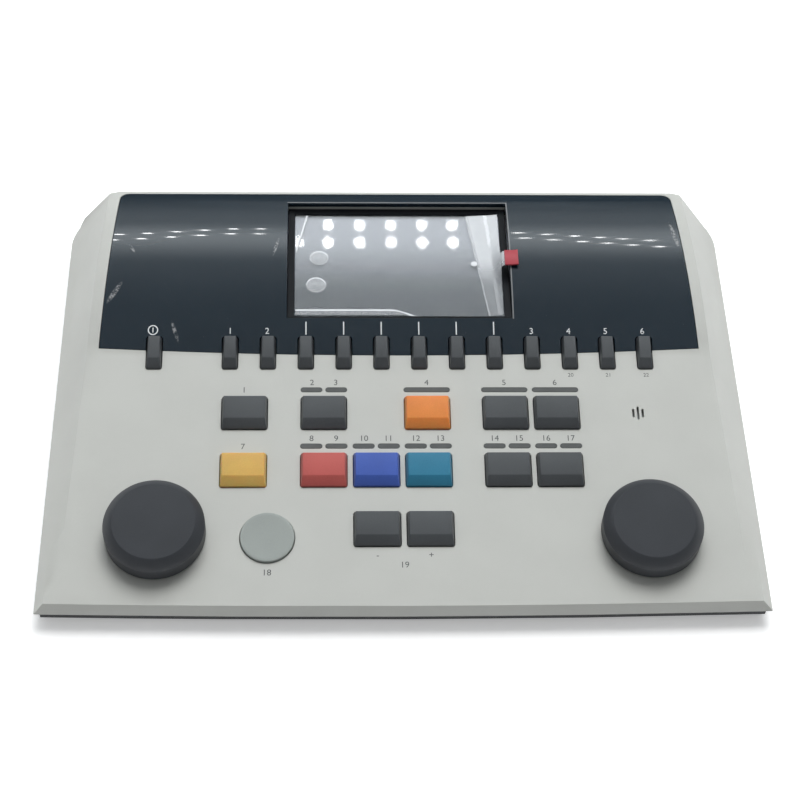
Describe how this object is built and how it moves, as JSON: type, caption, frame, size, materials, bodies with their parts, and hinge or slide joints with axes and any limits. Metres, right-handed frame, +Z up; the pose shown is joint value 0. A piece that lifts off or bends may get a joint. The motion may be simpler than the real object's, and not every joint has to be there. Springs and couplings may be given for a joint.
{
  "type": "audiometer",
  "caption": "Desktop audiometer: wedge-shaped grey console with a dark humped display panel, key row, coloured buttons, round switch, two dials and rear jack sockets.",
  "frame": {"origin": "on the table, under the middle of the console's box", "axes": "+X to the user's right, +Y away from the user, +Z up"},
  "size_m": [0.3, 0.212, 0.0399],
  "materials": {
    "shell_plastic": "fine-grained light grey",
    "base_plastic": "fine-grained charcoal",
    "panel_gloss": "glossy blue-black",
    "frame_black": "satin black",
    "display_glass": "clear over a grey screen",
    "lcd_metal": "satin",
    "film": "clear protective film",
    "tab_red": "semi-gloss",
    "indicator": "smoked, unlit",
    "led": "clear epoxy",
    "mic_metal": "satin",
    "board_green": "solder resist",
    "switch_black": "satin",
    "encoder_metal": "satin",
    "nut_brass": "satin",
    "dial_plastic": "satin charcoal",
    "round_grey": "satin",
    "cap_grey": "satin charcoal",
    "cap_yellow": "satin",
    "cap_red": "satin",
    "cap_blue": "satin",
    "cap_teal": "satin",
    "cap_orange": "satin",
    "socket_black": "satin",
    "nut_nickel": "satin nickel",
    "usb_metal": "satin",
    "foot_rubber": "matt",
    "screw_steel": "zinc plated"
  },
  "bodies": {
    "console": {"upper_shell": "shell_plastic", "base_shell": "base_plastic", "display_fascia": "panel_gloss", "display_frame": "frame_black", "display_glass": "display_glass", "lcd_module": "lcd_metal", "screen_film": "film", "film_tab": "tab_red", "indicator_windows": "indicator", "indicator_leds": "led", "microphone": "mic_metal", "key_board": "board_green", "main_board": "board_green", "key_switches": "switch_black", "button_switches": "switch_black", "round_switch_body": "switch_black", "encoder_left": "encoder_metal", "encoder_right": "encoder_metal", "encoder_nuts": "nut_brass", "connector_plate": "base_plastic", "jack_sockets": "socket_black", "jack_nuts": "nut_nickel", "usb_socket": "usb_metal", "power_inlet": "socket_black", "rubber_feet": "foot_rubber", "case_screws": "screw_steel", "board_screws": "screw_steel"},
    "left_dial": {"dial_left": "dial_plastic", "dial_shaft_left": "screw_steel"},
    "right_dial": {"dial_right": "dial_plastic", "dial_shaft_right": "screw_steel"},
    "key_power": {"key_power": "cap_grey"},
    "key_shift": {"key_shift": "cap_grey"},
    "key_setup": {"key_setup": "cap_grey"},
    "key_function_1": {"key_function_1": "cap_grey"},
    "key_function_2": {"key_function_2": "cap_grey"},
    "key_function_3": {"key_function_3": "cap_grey"},
    "key_function_4": {"key_function_4": "cap_grey"},
    "key_function_5": {"key_function_5": "cap_grey"},
    "key_function_6": {"key_function_6": "cap_grey"},
    "key_tests": {"key_tests": "cap_grey"},
    "key_delete": {"key_delete": "cap_grey"},
    "key_save": {"key_save": "cap_grey"},
    "key_print": {"key_print": "cap_grey"},
    "button_talk": {"button_talk": "cap_grey"},
    "button_store": {"button_store": "cap_yellow"},
    "button_tone": {"button_tone": "cap_grey"},
    "button_red": {"button_red": "cap_red"},
    "button_blue": {"button_blue": "cap_blue"},
    "button_teal": {"button_teal": "cap_teal"},
    "button_orange": {"button_orange": "cap_orange"},
    "button_mask": {"button_mask": "cap_grey"},
    "button_sync": {"button_sync": "cap_grey"},
    "button_manual": {"button_manual": "cap_grey"},
    "button_single": {"button_single": "cap_grey"},
    "button_down": {"button_down": "cap_grey"},
    "button_up": {"button_up": "cap_grey"},
    "round_button": {"round_button": "round_grey"}
  },
  "joints": [
    {"name": "key_power_press", "type": "slide", "parent": "console", "child": "key_power", "axis": [0, 0.1357, -0.9907], "range_m": [0, 0.001], "stiffness_N_per_m": 900, "springref_m": -0.0006},
    {"name": "key_shift_press", "type": "slide", "parent": "console", "child": "key_shift", "axis": [0, 0.1357, -0.9907], "range_m": [0, 0.001], "stiffness_N_per_m": 900, "springref_m": -0.0006},
    {"name": "key_setup_press", "type": "slide", "parent": "console", "child": "key_setup", "axis": [0, 0.1357, -0.9907], "range_m": [0, 0.001], "stiffness_N_per_m": 900, "springref_m": -0.0006},
    {"name": "key_function_1_press", "type": "slide", "parent": "console", "child": "key_function_1", "axis": [0, 0.1357, -0.9907], "range_m": [0, 0.001], "stiffness_N_per_m": 900, "springref_m": -0.0006},
    {"name": "key_function_2_press", "type": "slide", "parent": "console", "child": "key_function_2", "axis": [0, 0.1357, -0.9907], "range_m": [0, 0.001], "stiffness_N_per_m": 900, "springref_m": -0.0006},
    {"name": "key_function_3_press", "type": "slide", "parent": "console", "child": "key_function_3", "axis": [0, 0.1357, -0.9907], "range_m": [0, 0.001], "stiffness_N_per_m": 900, "springref_m": -0.0006},
    {"name": "key_function_4_press", "type": "slide", "parent": "console", "child": "key_function_4", "axis": [0, 0.1357, -0.9907], "range_m": [0, 0.001], "stiffness_N_per_m": 900, "springref_m": -0.0006},
    {"name": "key_function_5_press", "type": "slide", "parent": "console", "child": "key_function_5", "axis": [0, 0.1357, -0.9907], "range_m": [0, 0.001], "stiffness_N_per_m": 900, "springref_m": -0.0006},
    {"name": "key_function_6_press", "type": "slide", "parent": "console", "child": "key_function_6", "axis": [0, 0.1357, -0.9907], "range_m": [0, 0.001], "stiffness_N_per_m": 900, "springref_m": -0.0006},
    {"name": "key_tests_press", "type": "slide", "parent": "console", "child": "key_tests", "axis": [0, 0.1357, -0.9907], "range_m": [0, 0.001], "stiffness_N_per_m": 900, "springref_m": -0.0006},
    {"name": "key_delete_press", "type": "slide", "parent": "console", "child": "key_delete", "axis": [0, 0.1357, -0.9907], "range_m": [0, 0.001], "stiffness_N_per_m": 900, "springref_m": -0.0006},
    {"name": "key_save_press", "type": "slide", "parent": "console", "child": "key_save", "axis": [0, 0.1357, -0.9907], "range_m": [0, 0.001], "stiffness_N_per_m": 900, "springref_m": -0.0006},
    {"name": "key_print_press", "type": "slide", "parent": "console", "child": "key_print", "axis": [0, 0.1357, -0.9907], "range_m": [0, 0.001], "stiffness_N_per_m": 900, "springref_m": -0.0006},
    {"name": "button_talk_press", "type": "slide", "parent": "console", "child": "button_talk", "axis": [0, 0.1357, -0.9907], "range_m": [0, 0.001], "stiffness_N_per_m": 1000, "springref_m": -0.0006},
    {"name": "button_store_press", "type": "slide", "parent": "console", "child": "button_store", "axis": [0, 0.1357, -0.9907], "range_m": [0, 0.001], "stiffness_N_per_m": 1000, "springref_m": -0.0006},
    {"name": "button_tone_press", "type": "slide", "parent": "console", "child": "button_tone", "axis": [0, 0.1357, -0.9907], "range_m": [0, 0.001], "stiffness_N_per_m": 1000, "springref_m": -0.0006},
    {"name": "button_red_press", "type": "slide", "parent": "console", "child": "button_red", "axis": [0, 0.1357, -0.9907], "range_m": [0, 0.001], "stiffness_N_per_m": 1000, "springref_m": -0.0006},
    {"name": "button_blue_press", "type": "slide", "parent": "console", "child": "button_blue", "axis": [0, 0.1357, -0.9907], "range_m": [0, 0.001], "stiffness_N_per_m": 1000, "springref_m": -0.0006},
    {"name": "button_teal_press", "type": "slide", "parent": "console", "child": "button_teal", "axis": [0, 0.1357, -0.9907], "range_m": [0, 0.001], "stiffness_N_per_m": 1000, "springref_m": -0.0006},
    {"name": "button_orange_press", "type": "slide", "parent": "console", "child": "button_orange", "axis": [0, 0.1357, -0.9907], "range_m": [0, 0.001], "stiffness_N_per_m": 1000, "springref_m": -0.0006},
    {"name": "button_mask_press", "type": "slide", "parent": "console", "child": "button_mask", "axis": [0, 0.1357, -0.9907], "range_m": [0, 0.001], "stiffness_N_per_m": 1000, "springref_m": -0.0006},
    {"name": "button_sync_press", "type": "slide", "parent": "console", "child": "button_sync", "axis": [0, 0.1357, -0.9907], "range_m": [0, 0.001], "stiffness_N_per_m": 1000, "springref_m": -0.0006},
    {"name": "button_manual_press", "type": "slide", "parent": "console", "child": "button_manual", "axis": [0, 0.1357, -0.9907], "range_m": [0, 0.001], "stiffness_N_per_m": 1000, "springref_m": -0.0006},
    {"name": "button_single_press", "type": "slide", "parent": "console", "child": "button_single", "axis": [0, 0.1357, -0.9907], "range_m": [0, 0.001], "stiffness_N_per_m": 1000, "springref_m": -0.0006},
    {"name": "button_down_press", "type": "slide", "parent": "console", "child": "button_down", "axis": [0, 0.1357, -0.9907], "range_m": [0, 0.001], "stiffness_N_per_m": 1000, "springref_m": -0.0006},
    {"name": "button_up_press", "type": "slide", "parent": "console", "child": "button_up", "axis": [0, 0.1357, -0.9907], "range_m": [0, 0.001], "stiffness_N_per_m": 1000, "springref_m": -0.0006},
    {"name": "round_button_press", "type": "slide", "parent": "console", "child": "round_button", "axis": [0, 0.1357, -0.9907], "range_m": [0, 0.001], "stiffness_N_per_m": 900, "springref_m": -0.0006},
    {"name": "left_dial_turn", "type": "hinge", "parent": "console", "child": "left_dial", "pos_m": [-0.1022, -0.0712, 0.01641], "axis": [0, -0.1357, 0.9907], "continuous": true},
    {"name": "right_dial_turn", "type": "hinge", "parent": "console", "child": "right_dial", "pos_m": [0.1022, -0.0712, 0.01641], "axis": [0, -0.1357, 0.9907], "continuous": true}
  ]
}
